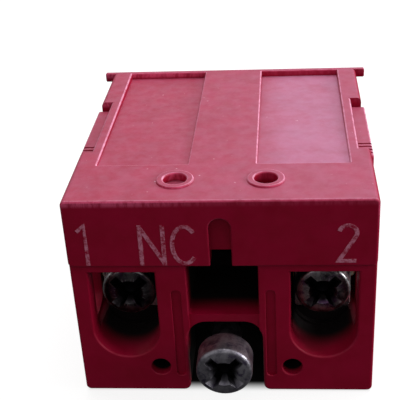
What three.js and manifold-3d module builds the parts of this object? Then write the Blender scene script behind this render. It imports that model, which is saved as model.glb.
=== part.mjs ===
// Contact block of an industrial push button: one pole, normally closed, with screw terminals.
// Millimetres. X runs along the front, from terminal 1 to terminal 2. Y runs from the front to the
// rear, where the operator clips on. Z is up. Pieces are drawn with the front face at Y = 0, and the
// whole block is then moved so that the origin is under its middle, on the surface it stands on.

import * as THREE from 'three';
import Module from 'manifold-3d';
import { mergeVertices } from 'three/addons/utils/BufferGeometryUtils.js';

const wasm = await Module();
wasm.setup();

// Driving dimensions: the outside of the housing
const WIDTH = 34;
const DEPTH = 38;
const HEIGHT = 26;
const EDGE_RADIUS = 0.6;
const EDGE_BEVEL = 0.25;
const WALL = 1.6;
const GAP = 0.1;

// Front face: a band with the markings stands proud of the terminal area under it
const BAND_LOW = 17.65;
const BAND_PROUD = 0.35;
const BLOCK_DEPTH = 13;
const MOUTH_FLARE = 0.3;

// Screw channel under the middle, open at the bottom
const CHANNEL_HALF = 4.35;
const CHANNEL_TOP = 9.7;
const CHANNEL_CORNER = 2.2;
const CHANNEL_WALL = 1;
const CHANNEL_FOOT_RADIUS = 0.8;
const SEAT_FRONT = 8;
const SEAT_REAR = 11;
const LAST_RIB = 2.6;

// Window over the channel, with a key slot above it
const WINDOW_HALF = 4;
const WINDOW_DEPTH = 11;
const BAR_SETBACK = 0.5;
const KEY_HALF = 1.2;
const KEY_TOP = 23.7;
const KEY_DEPTH = 1.2;
const KEY_FLARE = 0.15;
const KEY_OPEN_TOP = 19.2;

// Terminals
const TERMINAL_X = 11.3;
const TERMINAL_Z = 11.6;
const POCKET_HALF = 3.8;
const POCKET_TOP = 16.7;
const POCKET_LOW = 5;
const POCKET_INNER_HALF = 3.45;
const POCKET_INNER_LOW = 5.7;
const FUNNEL_DEPTH = 5.5;
const CHAMBER_FRONT = 2.4;
const CHAMBER_INNER_X = 7.6;
const CHAMBER_LOW = 7.8;
const CHAMBER_TOP = 17.2;
const WIRE_ENTRY = { front: 3.6, rear: 7.9, low: 8.2, top: 15.2, radius: 1.2 };
const ENTRY_FLARE = 0.5;

// Stacking: two peg holes in the front, and the same two pegs on the rear cover
const PEG_X = 7.7;
const PEG_Z = 3.5;
const PEG_RADIUS = 1;
const PEG_LENGTH = 2.4;
const PEG_CHAMFER = 0.4;
const PEG_HOLE_RADIUS = 1.15;
const PEG_HOLE_DEPTH = 3.2;
const GROOVE = { inner: 4.75, outer: 5.85, low: 2.2, top: 14.3, depth: 0.35, radius: 0.5 };

// Top: two long recesses, two ringed holes and a latch notch in each side edge
const TOP_STEP = 1.1;
const RECESS = { inner: 3.95, outer: 14.4, front: 8.6, frontDepth: 0.3, rearDepth: 0.85 };
const LIP_DEPTH = 0.7;
const LIP_OVERHANG = 1.2;
const RING = { x: 5, y: 4.7, outer: 2.1, hole: 1.3, rim: 0.25, shallow: 0.7, deep: 3.5 };
const LATCH = { inner: 15.6, front: 12, rear: 27, low: 20.1, proud: 0.4, armThickness: 1.5, corner: 0.4 };

// Inner cavity, open at the rear, where the cover sits on a small shoulder
const CAVITY_HALF = WIDTH / 2 - WALL;
const CAVITY_LOW = 1.5;
const CAVITY_TOP = 23.8;
const COVER_SHOULDER = 0.4;
const COVER_THICKNESS = 2.6;

// Plunger and contacts, all on one axis
const AXIS_Z = 14.2;
const PUSH_REACH = 5.6;
const STEM_HALF = 2.6;
const RAIL_HALF = 3.4;
const SHOULDER_HALF = 4.4;
const PLUNGER_LOW = 10.85;
const PLUNGER_TOP = 18.3;
const WINDOW_FRONT = 21.6;
const WINDOW_REAR = 28.55;
const FRONT_BAR = 1.6;
const REAR_BAR_END = 31;
const SHOULDER_THICKNESS = 1.6;
const TAIL_RADIUS = 1.5;
const TAIL_END = 11.6;
const FIN_HALF = 0.8;
const FIN_TOP = 22.6;
const GUIDE_WIDTH = 1;
const GUIDE_CLEARANCE = 1.5;
const BRIDGE = { half: 11.6, front: 26.9, thickness: 0.8, height: 4.4 };
const CONTACT_X = 9.5;
const TIP = { radius: 1.7, thickness: 0.7, chamfer: 0.25 };
const STRIP = { thickness: 0.9, low: 11.4, top: 17, terminalLow: 8.2, outer: 15.3, inner: 7.4, bend: 1 };
const STRIP_FRONT = 7.4;
const STRIP_REAR = 30.1;

// Fasteners: M3.5 screws
const SCREW = { head: 3.2, headHeight: 2.3, chamfer: 0.3, shank: 1.75, hole: 1.85, slot: 0.9, recess: 1.4 };
const RECESS_TURN = Math.PI / 4;
const TERMINAL_HEAD_FRONT = 3.8;
const TERMINAL_SCREW_LENGTH = 8.4;
const CLAMP = { width: 6.6, height: 7, thickness: 1.15, hole: 1.9 };
const NUT = { width: 6, height: 6, thickness: 2.2, hole: 1.85 };
const PLATE_CORNER = 0.5;
const FIXING = { z: 5.6, proud: 3.6, headHeight: 3.6, length: 39.4, hole: 2 };
const RETAINER = { outer: 3.3, thickness: 1 };

// Mesh fineness
const ROUND_SIDES = 24;
const ARC_STEPS = 3;
const COIL_STEPS = 12;
const WELD = 1e-4;

// How far a cutting tool reaches past the face it opens
const PAST = 1;

const RED = new THREE.MeshStandardMaterial({ color: 0x8c0f2d, roughness: 0.5, metalness: 0 });
const DARK = new THREE.MeshStandardMaterial({ color: 0x23201f, roughness: 0.5, metalness: 0 });
const NYLON = new THREE.MeshStandardMaterial({ color: 0xd9d4c4, roughness: 0.6, metalness: 0 });
const STEEL = new THREE.MeshStandardMaterial({ color: 0x54545a, roughness: 0.35, metalness: 1 });
const ZINC = new THREE.MeshStandardMaterial({ color: 0xa9abb0, roughness: 0.35, metalness: 1 });
const BRASS = new THREE.MeshStandardMaterial({ color: 0xc79a4a, roughness: 0.3, metalness: 1 });
const COPPER = new THREE.MeshStandardMaterial({ color: 0xb8734a, roughness: 0.3, metalness: 1 });
const SILVER = new THREE.MeshStandardMaterial({ color: 0xdcdcd8, roughness: 0.25, metalness: 1 });

// ---- Solids ----

function toSolid(geometry) {
  const bare = geometry.clone();
  bare.deleteAttribute('normal');
  bare.deleteAttribute('uv');
  const merged = mergeVertices(bare, WELD);
  const triVerts = new Uint32Array(merged.index.array);
  const vertProperties = merged.attributes.position.array;
  return new wasm.Manifold(new wasm.Mesh({ numProp: 3, vertProperties, triVerts }));
}

function toGeometry(solid) {
  const mesh = solid.getMesh();
  const indexed = new THREE.BufferGeometry();
  indexed.setAttribute('position', new THREE.BufferAttribute(mesh.vertProperties, mesh.numProp));
  indexed.setIndex(new THREE.BufferAttribute(mesh.triVerts, 1));
  const faceted = indexed.toNonIndexed();
  faceted.computeVertexNormals();
  return faceted;
}

function join(first, others) {
  return others.reduce((whole, other) => whole.add(toSolid(other)), first);
}

function cut(first, tools) {
  return tools.reduce((rest, tool) => rest.subtract(toSolid(tool)), first);
}

function named(name, geometry, material) {
  const mesh = new THREE.Mesh(geometry, material);
  mesh.name = name;
  return mesh;
}

// ---- Outlines and basic forms ----

function box(x0, x1, y0, y1, z0, z1) {
  const geometry = new THREE.BoxGeometry(x1 - x0, y1 - y0, z1 - z0);
  return geometry.translate((x0 + x1) / 2, (y0 + y1) / 2, (z0 + z1) / 2);
}

function roundedRect(u0, u1, v0, v1, radius) {
  const shape = new THREE.Shape();
  shape.absarc(u1 - radius, v0 + radius, radius, -Math.PI / 2, 0);
  shape.absarc(u1 - radius, v1 - radius, radius, 0, Math.PI / 2);
  shape.absarc(u0 + radius, v1 - radius, radius, Math.PI / 2, Math.PI);
  shape.absarc(u0 + radius, v0 + radius, radius, Math.PI, 1.5 * Math.PI);
  return shape;
}

// A U: round at the bottom, with straight sides and a flat top
function uOutline(middle, half, low, top) {
  const shape = new THREE.Shape();
  shape.absarc(middle, low + half, half, Math.PI, 2 * Math.PI);
  shape.lineTo(middle + half, top);
  shape.lineTo(middle - half, top);
  return shape;
}

// The part of the distances from inner to outer that lies on one side, left (-1) or right (1)
function span(side, inner, outer) {
  return side > 0 ? [inner, outer] : [-outer, -inner];
}

// With a bevel, both ends of the extrusion are smaller than its middle by bevel.size. The outline
// is the middle, or with bevel.grow it is the two ends.
function extrude(shape, length, bevel) {
  const options = { depth: length, steps: 1, curveSegments: ARC_STEPS, bevelEnabled: false };
  if (bevel) {
    options.depth = length - 2 * bevel.depth;
    options.bevelEnabled = true;
    options.bevelThickness = bevel.depth;
    options.bevelSize = bevel.size;
    options.bevelOffset = bevel.grow ? 0 : -bevel.size;
    options.bevelSegments = bevel.steps ?? 1;
  }
  const geometry = new THREE.ExtrudeGeometry(shape, options);
  if (bevel) geometry.translate(0, 0, bevel.depth);
  return geometry;
}

// An outline in X and Z, from the front to the rear
function alongY(shape, front, rear, bevel) {
  const geometry = extrude(shape, rear - front, bevel);
  return geometry.rotateX(Math.PI / 2).translate(0, rear, 0);
}

// An outline in Y and Z, from left to right
function alongX(shape, left, right, bevel) {
  const turn = new THREE.Matrix4().makeBasis(
    new THREE.Vector3(0, 1, 0),
    new THREE.Vector3(0, 0, 1),
    new THREE.Vector3(1, 0, 0),
  );
  return extrude(shape, right - left, bevel).applyMatrix4(turn).translate(left, 0, 0);
}

// An outline in X and Y, from low to high
function alongZ(shape, low, high) {
  return extrude(shape, high - low).translate(0, 0, low);
}

// A tool that narrows from the outline at the front face to size less at the given depth
function funnel(shape, depth, size) {
  return alongY(shape, BAND_PROUD - PAST - depth, BAND_PROUD + depth, { depth, size });
}

// A tool that widens an opening by a chamfer in the face at Y = faceY
function flare(shape, faceY, size) {
  return alongY(shape, faceY - PAST - size, faceY + size, { depth: size, size, grow: true });
}

function rodY(radius, front, rear, x, z, sides = ROUND_SIDES) {
  const geometry = new THREE.CylinderGeometry(radius, radius, rear - front, sides);
  return geometry.translate(x, (front + rear) / 2, z);
}

function rodZ(radius, low, high, x, y, topRadius = radius) {
  const geometry = new THREE.CylinderGeometry(topRadius, radius, high - low, ROUND_SIDES);
  return geometry.rotateX(Math.PI / 2).translate(x, y, (low + high) / 2);
}

// A turned form on the Y axis, from points given as radius and Y, from the front to the rear
function turned(points) {
  const profile = points.map(([radius, y]) => new THREE.Vector2(radius, y));
  return new THREE.LatheGeometry(profile, ROUND_SIDES);
}

// ---- Housing ----

function channelOutline() {
  const straightTop = CHANNEL_TOP - CHANNEL_CORNER;
  const archX = CHANNEL_HALF - CHANNEL_CORNER;
  const footX = CHANNEL_HALF + CHANNEL_FOOT_RADIUS;
  const shape = new THREE.Shape();
  shape.moveTo(-footX, -PAST);
  shape.lineTo(footX, -PAST);
  shape.lineTo(footX, 0);
  shape.quadraticCurveTo(CHANNEL_HALF, 0, CHANNEL_HALF, CHANNEL_FOOT_RADIUS);
  shape.lineTo(CHANNEL_HALF, straightTop);
  shape.absarc(archX, straightTop, CHANNEL_CORNER, 0, Math.PI / 2);
  shape.absarc(-archX, straightTop, CHANNEL_CORNER, Math.PI / 2, Math.PI);
  shape.lineTo(-CHANNEL_HALF, CHANNEL_FOOT_RADIUS);
  shape.quadraticCurveTo(-CHANNEL_HALF, 0, -footX, 0);
  return shape;
}

// The room inside, which straddles the channel
function cavityOutline(half, low, top, straddle, roof) {
  const shape = new THREE.Shape();
  shape.moveTo(-half, low);
  shape.lineTo(-straddle, low);
  shape.lineTo(-straddle, roof);
  shape.lineTo(straddle, roof);
  shape.lineTo(straddle, low);
  shape.lineTo(half, low);
  shape.lineTo(half, top);
  shape.lineTo(-half, top);
  return shape;
}

function housingOutside() {
  const bevel = { depth: EDGE_BEVEL, size: EDGE_BEVEL, steps: 2 };
  const half = WIDTH / 2;
  const body = alongY(roundedRect(-half, half, 0, HEIGHT, EDGE_RADIUS), BAND_PROUD, DEPTH, bevel);
  const bandOutline = roundedRect(-half, half, BAND_LOW, HEIGHT, EDGE_RADIUS);
  const band = alongY(bandOutline, 0, BLOCK_DEPTH / 2, bevel);
  const lipHalf = half + LIP_OVERHANG;
  const lipOutline = roundedRect(-lipHalf, lipHalf, HEIGHT - TOP_STEP - GAP, HEIGHT, 0.2);
  const lip = alongY(lipOutline, DEPTH - LIP_DEPTH, DEPTH);
  const rimTop = RING.outer - RING.rim;
  const rims = [-1, 1].map((side) => (
    rodZ(RING.outer, HEIGHT - GAP, HEIGHT + RING.rim, side * RING.x, RING.y, rimTop)
  ));
  return join(toSolid(body), [band, lip, ...rims]);
}

function terminalTools(side) {
  const x = side * TERMINAL_X;
  const pocket = uOutline(x, POCKET_HALF, POCKET_LOW, POCKET_TOP);
  const throat = uOutline(x, POCKET_INNER_HALF, POCKET_INNER_LOW, POCKET_TOP);
  const chamber = span(side, CHAMBER_INNER_X, CAVITY_HALF);
  const { front, rear, low, top, radius } = WIRE_ENTRY;
  const entry = roundedRect(front, rear, low, top, radius);
  return [
    funnel(pocket, FUNNEL_DEPTH, POCKET_HALF - POCKET_INNER_HALF),
    alongY(throat, -PAST, FUNNEL_DEPTH + PAST),
    box(...chamber, CHAMBER_FRONT, BLOCK_DEPTH + PAST, CHAMBER_LOW, CHAMBER_TOP),
    alongX(entry, ...span(side, CAVITY_HALF - PAST, WIDTH / 2 + PAST)),
    alongX(entry, ...span(side, WIDTH / 2 - ENTRY_FLARE, WIDTH / 2 + PAST), {
      depth: ENTRY_FLARE,
      size: ENTRY_FLARE,
      grow: true,
    }),
  ];
}

function windowTools() {
  const tunnelRoof = CHANNEL_TOP + CHANNEL_WALL;
  const window = roundedRect(-WINDOW_HALF, WINDOW_HALF, tunnelRoof, BAND_LOW, 0.3);
  const key = new THREE.Shape();
  key.absarc(0, KEY_TOP - KEY_HALF, KEY_HALF, 0, Math.PI);
  key.lineTo(-KEY_HALF, BAND_LOW - PAST);
  key.lineTo(KEY_HALF, BAND_LOW - PAST);
  return [
    alongY(window, -PAST, WINDOW_DEPTH),
    box(-WINDOW_HALF, WINDOW_HALF, -PAST, BAND_PROUD + BAR_SETBACK, CHANNEL_TOP - PAST, tunnelRoof + PAST),
    alongY(key, -PAST, KEY_DEPTH),
    flare(key, 0, KEY_FLARE),
    box(-KEY_HALF, KEY_HALF, 0, WINDOW_DEPTH / 2, BAND_LOW - PAST, KEY_OPEN_TOP),
    rodY(TAIL_RADIUS + 2 * GAP, WINDOW_DEPTH - PAST, BLOCK_DEPTH + PAST, 0, AXIS_Z),
  ];
}

// A recess whose floor falls from the front to the rear
function recessTool(side) {
  const rear = DEPTH - LIP_DEPTH;
  const outline = new THREE.Shape();
  outline.moveTo(RECESS.front, HEIGHT + PAST);
  outline.lineTo(RECESS.front, HEIGHT - RECESS.frontDepth);
  outline.lineTo(rear, HEIGHT - RECESS.rearDepth);
  outline.lineTo(rear, HEIGHT + PAST);
  return alongX(outline, ...span(side, RECESS.inner, RECESS.outer));
}

function topTools() {
  const tools = [];
  for (const side of [-1, 1]) {
    const notch = span(side, LATCH.inner, WIDTH / 2 + PAST);
    const wallSlot = span(side, CAVITY_HALF - PAST, LATCH.inner + GAP);
    const depth = side < 0 ? RING.shallow : RING.deep;
    tools.push(
      recessTool(side),
      rodZ(RING.hole, HEIGHT - depth, HEIGHT + PAST, side * RING.x, RING.y),
      box(...notch, LATCH.front, LATCH.rear, LATCH.low, HEIGHT + PAST),
      box(...wallSlot, BLOCK_DEPTH, LATCH.rear, LATCH.low, CAVITY_TOP),
    );
  }
  return tools;
}

function rearTools() {
  const straddle = CHANNEL_HALF + CHANNEL_WALL;
  const roof = CHANNEL_TOP + CHANNEL_WALL;
  const room = cavityOutline(CAVITY_HALF, CAVITY_LOW, CAVITY_TOP, straddle, roof);
  const grow = COVER_SHOULDER;
  const seat = cavityOutline(CAVITY_HALF + grow, CAVITY_LOW - grow, CAVITY_TOP + grow, straddle, roof);
  return [
    alongY(room, BLOCK_DEPTH, DEPTH + PAST),
    alongY(seat, DEPTH - COVER_THICKNESS, DEPTH + PAST),
  ];
}

function frontSmallTools(side) {
  const { inner, outer, low, top, radius } = GROOVE;
  const groove = roundedRect(...span(side, inner, outer), low, top, radius);
  return [
    rodY(PEG_HOLE_RADIUS, -PAST, PEG_HOLE_DEPTH, side * PEG_X, PEG_Z),
    alongY(groove, -PAST, BAND_PROUD + GROOVE.depth),
  ];
}

// Ribs across the screw channel: the screw's seat, and the guide at the rear
function channelRibs() {
  const half = CHANNEL_HALF + CHANNEL_WALL / 2;
  const top = CHANNEL_TOP + CHANNEL_WALL / 2;
  return [
    box(-half, half, SEAT_FRONT, SEAT_REAR, 0, top),
    box(-half, half, DEPTH - LAST_RIB, DEPTH, 0, top),
  ];
}

// Two ribs under the roof hold the plunger's fin upright
function finGuides() {
  const inner = FIN_HALF + GAP;
  const low = PLUNGER_TOP + GUIDE_CLEARANCE;
  const rear = DEPTH - COVER_THICKNESS - GAP;
  return [-1, 1].map((side) => (
    box(...span(side, inner, inner + GUIDE_WIDTH), BLOCK_DEPTH - PAST, rear, low, CAVITY_TOP + GAP)
  ));
}

function housing() {
  let block = cut(housingOutside(), rearTools());
  block = cut(block, [alongY(channelOutline(), -PAST, DEPTH + PAST)]);
  block = join(block, [...channelRibs(), ...finGuides()]);
  block = cut(block, [
    flare(channelOutline(), BAND_PROUD, MOUTH_FLARE),
    rodY(FIXING.hole, -PAST, DEPTH + PAST, 0, FIXING.z),
    ...windowTools(),
    ...topTools(),
    ...terminalTools(-1),
    ...terminalTools(1),
    ...frontSmallTools(-1),
    ...frontSmallTools(1),
  ]);
  return named('housing', toGeometry(block), RED);
}

// ---- Rear cover ----

function coverPlate() {
  const clear = COVER_SHOULDER - GAP;
  const straddle = CHANNEL_HALF + CHANNEL_WALL + GAP;
  const roof = CHANNEL_TOP + CHANNEL_WALL + GAP;
  const half = CAVITY_HALF + clear;
  const outline = cavityOutline(half, CAVITY_LOW - clear, CAVITY_TOP + clear, straddle, roof);
  const stem = STEM_HALF + GAP;
  outline.holes.push(roundedRect(-stem, stem, AXIS_Z - stem, AXIS_Z + stem, 0.8));
  return alongY(outline, DEPTH - COVER_THICKNESS + GAP, DEPTH);
}

// An arm runs forward inside the side wall, and its pad fills the notch in the housing's side edge
function latchArm(side) {
  const low = LATCH.low + 2 * GAP;
  const armTop = CAVITY_TOP - 3 * GAP;
  const armFront = BLOCK_DEPTH + 2 * GAP;
  const armInner = CAVITY_HALF - LATCH.armThickness;
  const padInner = LATCH.inner + GAP;
  const padFront = LATCH.front + 2 * GAP;
  const padRear = LATCH.rear - 2 * GAP;
  const padSpan = span(side, padInner, WIDTH / 2 + LATCH.proud);
  const outline = roundedRect(padFront, padRear, low, HEIGHT - TOP_STEP, LATCH.corner);
  return [
    box(...span(side, armInner, CAVITY_HALF - 2 * GAP), armFront, DEPTH - PAST, low, armTop),
    box(...span(side, armInner, padInner + 4 * GAP), armFront, padRear, low, armTop),
    alongX(outline, ...padSpan, { depth: 2 * GAP, size: 2 * GAP }),
  ];
}

function peg(side) {
  const end = DEPTH + PEG_LENGTH;
  const form = turned([
    [0, DEPTH - PAST],
    [PEG_RADIUS, DEPTH - PAST],
    [PEG_RADIUS, end - PEG_CHAMFER],
    [PEG_RADIUS - PEG_CHAMFER, end],
    [0, end],
  ]);
  return form.translate(side * PEG_X, 0, PEG_Z);
}

function rearCover() {
  const keyHalf = KEY_HALF - 2 * GAP;
  const keyOutline = roundedRect(-keyHalf, keyHalf, BAND_LOW + 3 * GAP, KEY_TOP - 3 * GAP, 0.9);
  const key = alongY(keyOutline, DEPTH - PAST, DEPTH + KEY_DEPTH - 2 * GAP);
  const cover = join(toSolid(coverPlate()), [...latchArm(-1), ...latchArm(1), peg(-1), peg(1), key]);
  return named('rear_cover', toGeometry(cover), RED);
}

// ---- Plunger, springs and bridge ----

function plunger() {
  const coverFace = DEPTH - COVER_THICKNESS;
  const shoulderFront = coverFace - SHOULDER_THICKNESS;
  const frontBarFace = WINDOW_FRONT - FRONT_BAR;
  const body = roundedRect(-RAIL_HALF, RAIL_HALF, PLUNGER_LOW, PLUNGER_TOP, 0.5);
  const shoulder = roundedRect(-SHOULDER_HALF, SHOULDER_HALF, PLUNGER_LOW, PLUNGER_TOP, 0.5);
  const low = AXIS_Z - STEM_HALF;
  const stem = roundedRect(-STEM_HALF, STEM_HALF, low, low + 2 * STEM_HALF, 0.7);
  const stemBevel = { depth: 0.5, size: 0.5, steps: 2 };
  const opening = BRIDGE.height / 2 + GAP;
  let solid = join(toSolid(alongY(body, frontBarFace, REAR_BAR_END)), [
    alongY(stem, REAR_BAR_END - PAST, DEPTH + PUSH_REACH, stemBevel),
    alongY(shoulder, shoulderFront, coverFace),
    box(-FIN_HALF, FIN_HALF, frontBarFace, coverFace - GAP, PLUNGER_TOP - PAST, FIN_TOP),
    turned([
      [0, TAIL_END],
      [TAIL_RADIUS - PEG_CHAMFER, TAIL_END],
      [TAIL_RADIUS, TAIL_END + PEG_CHAMFER],
      [TAIL_RADIUS, WINDOW_FRONT - GAP],
      [0, WINDOW_FRONT - GAP],
    ]).translate(0, 0, AXIS_Z),
  ]);
  solid = cut(solid, [
    box(-SHOULDER_HALF, SHOULDER_HALF, WINDOW_FRONT, WINDOW_REAR, AXIS_Z - opening, AXIS_Z + opening),
  ]);
  return named('plunger', toGeometry(solid), DARK);
}

// A compression spring along Y, with a closed coil at each end
class CoilPath extends THREE.Curve {
  constructor(front, rear, radius, wire, turns) {
    super();
    Object.assign(this, { front, rear, radius, wire, turns });
  }

  getPoint(t, target = new THREE.Vector3()) {
    const turn = t * this.turns;
    const closed = 1.12 * this.wire;
    const length = this.rear - this.front - this.wire;
    const open = (length - 2 * closed) / (this.turns - 2);
    const middle = Math.min(Math.max(turn - 1, 0), this.turns - 2);
    const last = Math.max(turn - (this.turns - 1), 0);
    const along = closed * Math.min(turn, 1) + open * middle + closed * last;
    const angle = 2 * Math.PI * turn;
    return target.set(
      this.radius * Math.cos(angle),
      this.front + this.wire / 2 + along,
      AXIS_Z + this.radius * Math.sin(angle),
    );
  }
}

function spring(name, front, rear, radius, wire, turns) {
  const path = new CoilPath(front, rear, radius, wire, turns);
  const section = new THREE.Shape().absarc(0, 0, wire / 2, 0, 2 * Math.PI);
  const options = {
    steps: COIL_STEPS * turns,
    curveSegments: ARC_STEPS,
    bevelEnabled: false,
    extrudePath: path,
  };
  return named(name, new THREE.ExtrudeGeometry(section, options), ZINC);
}

function bridge() {
  const low = AXIS_Z - BRIDGE.height / 2;
  const rear = BRIDGE.front + BRIDGE.thickness;
  const outline = roundedRect(-BRIDGE.half, BRIDGE.half, low, low + BRIDGE.height, 1.6);
  const solid = join(toSolid(alongY(outline, BRIDGE.front, rear)), [
    rodY(0.9, BRIDGE.front - 1, BRIDGE.front + GAP, 0, AXIS_Z),
  ]);
  return named('contact_bridge', toGeometry(solid), COPPER);
}

// A rivet head with a slightly smaller face; facing is the way it looks along Y
function tip(name, x, seat, facing) {
  const { radius, thickness, chamfer } = TIP;
  const form = turned([
    [0, 0],
    [radius, 0],
    [radius, thickness - chamfer],
    [radius - chamfer, thickness],
    [0, thickness],
  ]);
  if (facing < 0) form.rotateX(Math.PI);
  return named(name, form.translate(x, seat, AXIS_Z), SILVER);
}

// ---- One terminal, drawn on the right; the left one is its mirror image ----

function fixedContact(name) {
  const s = STRIP;
  const innerFace = s.outer - s.thickness;
  const outline = new THREE.Shape();
  outline.moveTo(CHAMBER_INNER_X + 3 * GAP, STRIP_FRONT);
  outline.absarc(s.outer - s.bend, STRIP_FRONT + s.bend, s.bend, -Math.PI / 2, 0);
  outline.absarc(s.outer - s.bend, STRIP_REAR - s.bend, s.bend, 0, Math.PI / 2);
  outline.lineTo(s.inner, STRIP_REAR);
  outline.lineTo(s.inner, STRIP_REAR - s.thickness);
  outline.lineTo(innerFace, STRIP_REAR - s.thickness);
  outline.lineTo(innerFace, STRIP_FRONT + s.thickness);
  outline.lineTo(CHAMBER_INNER_X + 3 * GAP, STRIP_FRONT + s.thickness);
  const plateOutline = roundedRect(CHAMBER_INNER_X + 3 * GAP, innerFace, s.terminalLow, s.top, 0.5);
  const plate = alongY(plateOutline, STRIP_FRONT, STRIP_FRONT + s.thickness);
  let solid = join(toSolid(alongZ(outline, s.low, s.top)), [plate]);
  solid = cut(solid, [rodY(SCREW.hole, 0, BLOCK_DEPTH, TERMINAL_X, TERMINAL_Z)]);
  return named(name, toGeometry(solid), BRASS);
}

// Plus-minus recess in the head's front at Y = 0: a cross, with one arm right across the head
function recessTools() {
  const half = SCREW.slot / 2;
  const depth = SCREW.recess;
  const reach = SCREW.head * 0.62;
  const across = SCREW.head + PAST;
  const arms = [
    box(-across, across, -PAST, depth * 0.6, -half, half),
    box(-half, half, -PAST, depth, -reach, reach),
    box(-reach, reach, -PAST, depth, -half, half),
  ];
  return arms.map((arm) => arm.rotateY(RECESS_TURN));
}

function screw(name, headHeight, length, material) {
  const { head, chamfer, shank } = SCREW;
  const form = turned([
    [0, 0],
    [head - chamfer, 0],
    [head, chamfer],
    [head, headHeight],
    [shank, headHeight],
    [shank, length - 2 * chamfer],
    [shank - 2 * chamfer, length],
    [0, length],
  ]);
  return named(name, toGeometry(cut(toSolid(form), recessTools())), material);
}

function squarePlate(name, { width, height, thickness, hole }, front) {
  const outline = roundedRect(-width / 2, width / 2, -height / 2, height / 2, PLATE_CORNER);
  const plate = alongY(outline, front, front + thickness);
  const drilled = cut(toSolid(plate), [rodY(hole, front - PAST, front + thickness + PAST, 0, 0)]);
  const mesh = named(name, toGeometry(drilled), ZINC);
  mesh.position.set(TERMINAL_X, 0, TERMINAL_Z);
  return mesh;
}

function terminal(number) {
  const group = new THREE.Group();
  const clampFront = TERMINAL_HEAD_FRONT + SCREW.headHeight + 0.05;
  const nutFront = STRIP_FRONT + STRIP.thickness + GAP;
  const screwMesh = screw(`terminal_screw_${number}`, SCREW.headHeight, TERMINAL_SCREW_LENGTH, STEEL);
  screwMesh.position.set(TERMINAL_X, TERMINAL_HEAD_FRONT, TERMINAL_Z);
  group.add(
    screwMesh,
    squarePlate(`clamp_plate_${number}`, CLAMP, clampFront),
    squarePlate(`terminal_nut_${number}`, NUT, nutFront),
    fixedContact(`fixed_contact_${number}`),
    tip(`fixed_tip_${number}`, CONTACT_X, STRIP_REAR - STRIP.thickness - GAP / 2, -1),
    tip(`bridge_tip_${number}`, CONTACT_X, BRIDGE.front + BRIDGE.thickness + GAP / 10, 1),
  );
  return group;
}

// ---- Fixing screw ----

function fixingScrew() {
  const mesh = screw('fixing_screw', FIXING.headHeight, FIXING.length, STEEL);
  mesh.position.set(0, -FIXING.proud, FIXING.z);
  return mesh;
}

function screwRetainer() {
  const front = SEAT_REAR + GAP;
  const rear = front + RETAINER.thickness;
  const ring = cut(toSolid(rodY(RETAINER.outer, front, rear, 0, FIXING.z)), [
    rodY(SCREW.hole, front - PAST, rear + PAST, 0, FIXING.z),
  ]);
  return named('screw_retainer', toGeometry(ring), NYLON);
}

// ---- The whole block ----

const block = new THREE.Group();
const leftTerminal = terminal(1);
leftTerminal.scale.x = -1;
const rightTerminal = terminal(2);
block.add(
  housing(),
  rearCover(),
  plunger(),
  spring('return_spring', BLOCK_DEPTH + GAP / 2, WINDOW_FRONT - FRONT_BAR - GAP / 2, 2.7, 0.5, 6),
  spring('contact_spring', WINDOW_FRONT + GAP / 2, BRIDGE.front - GAP / 2, 1.6, 0.4, 5),
  bridge(),
  leftTerminal,
  rightTerminal,
  fixingScrew(),
  screwRetainer(),
);
block.position.y = (FIXING.proud - DEPTH - PUSH_REACH) / 2;

export default block;
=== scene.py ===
"""Looks of a one-pole contact block for an industrial push button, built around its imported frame.

Outlines and positions are in millimetres in the block's own frame: X along the front, Y from the
front face (Y = 0) to the rear, Z up from the surface it stands on. loft() turns them into metres
in the frame's axes."""

import math

import bmesh
import bpy
from mathutils import Matrix, Vector


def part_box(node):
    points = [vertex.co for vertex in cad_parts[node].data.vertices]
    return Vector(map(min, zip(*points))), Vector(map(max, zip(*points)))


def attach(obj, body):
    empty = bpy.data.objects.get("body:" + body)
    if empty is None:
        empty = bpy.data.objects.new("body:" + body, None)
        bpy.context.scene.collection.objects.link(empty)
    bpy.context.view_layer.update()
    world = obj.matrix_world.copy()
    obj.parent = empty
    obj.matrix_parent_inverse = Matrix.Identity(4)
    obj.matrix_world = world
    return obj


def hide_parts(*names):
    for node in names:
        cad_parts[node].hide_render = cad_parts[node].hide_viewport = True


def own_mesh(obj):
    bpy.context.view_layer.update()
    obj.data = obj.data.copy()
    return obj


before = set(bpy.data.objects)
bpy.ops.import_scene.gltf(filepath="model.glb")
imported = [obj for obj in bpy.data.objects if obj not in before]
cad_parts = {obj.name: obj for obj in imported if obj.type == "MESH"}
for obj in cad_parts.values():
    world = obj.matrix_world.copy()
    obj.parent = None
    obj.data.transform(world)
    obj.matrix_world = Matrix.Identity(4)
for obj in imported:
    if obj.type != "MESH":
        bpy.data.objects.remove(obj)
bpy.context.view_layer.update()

MM = 0.001
HOUSING_LOW, HOUSING_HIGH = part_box("housing")
FRONT_Y = HOUSING_LOW.y / MM

# Housing
HALF_WIDTH = 17.0
DEPTH = (HOUSING_HIGH.y - HOUSING_LOW.y) / MM
HEIGHT = 26.0
WALL = 1.6
GAP = 0.1
CORNER = 0.6
BAND_LOW = 17.65
BAND_PROUD = 0.35
BLOCK_DEPTH = 13.0

# Rounded edges and rims, from the widest to the finest, and the corners of small outlines
EDGE_WIDE, EDGE, EDGE_SMALL, EDGE_THIN, EDGE_FINE = 0.3, 0.2, 0.15, 0.12, 0.1
RIM = 0.22
SMALL_CORNER = 0.5

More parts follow.
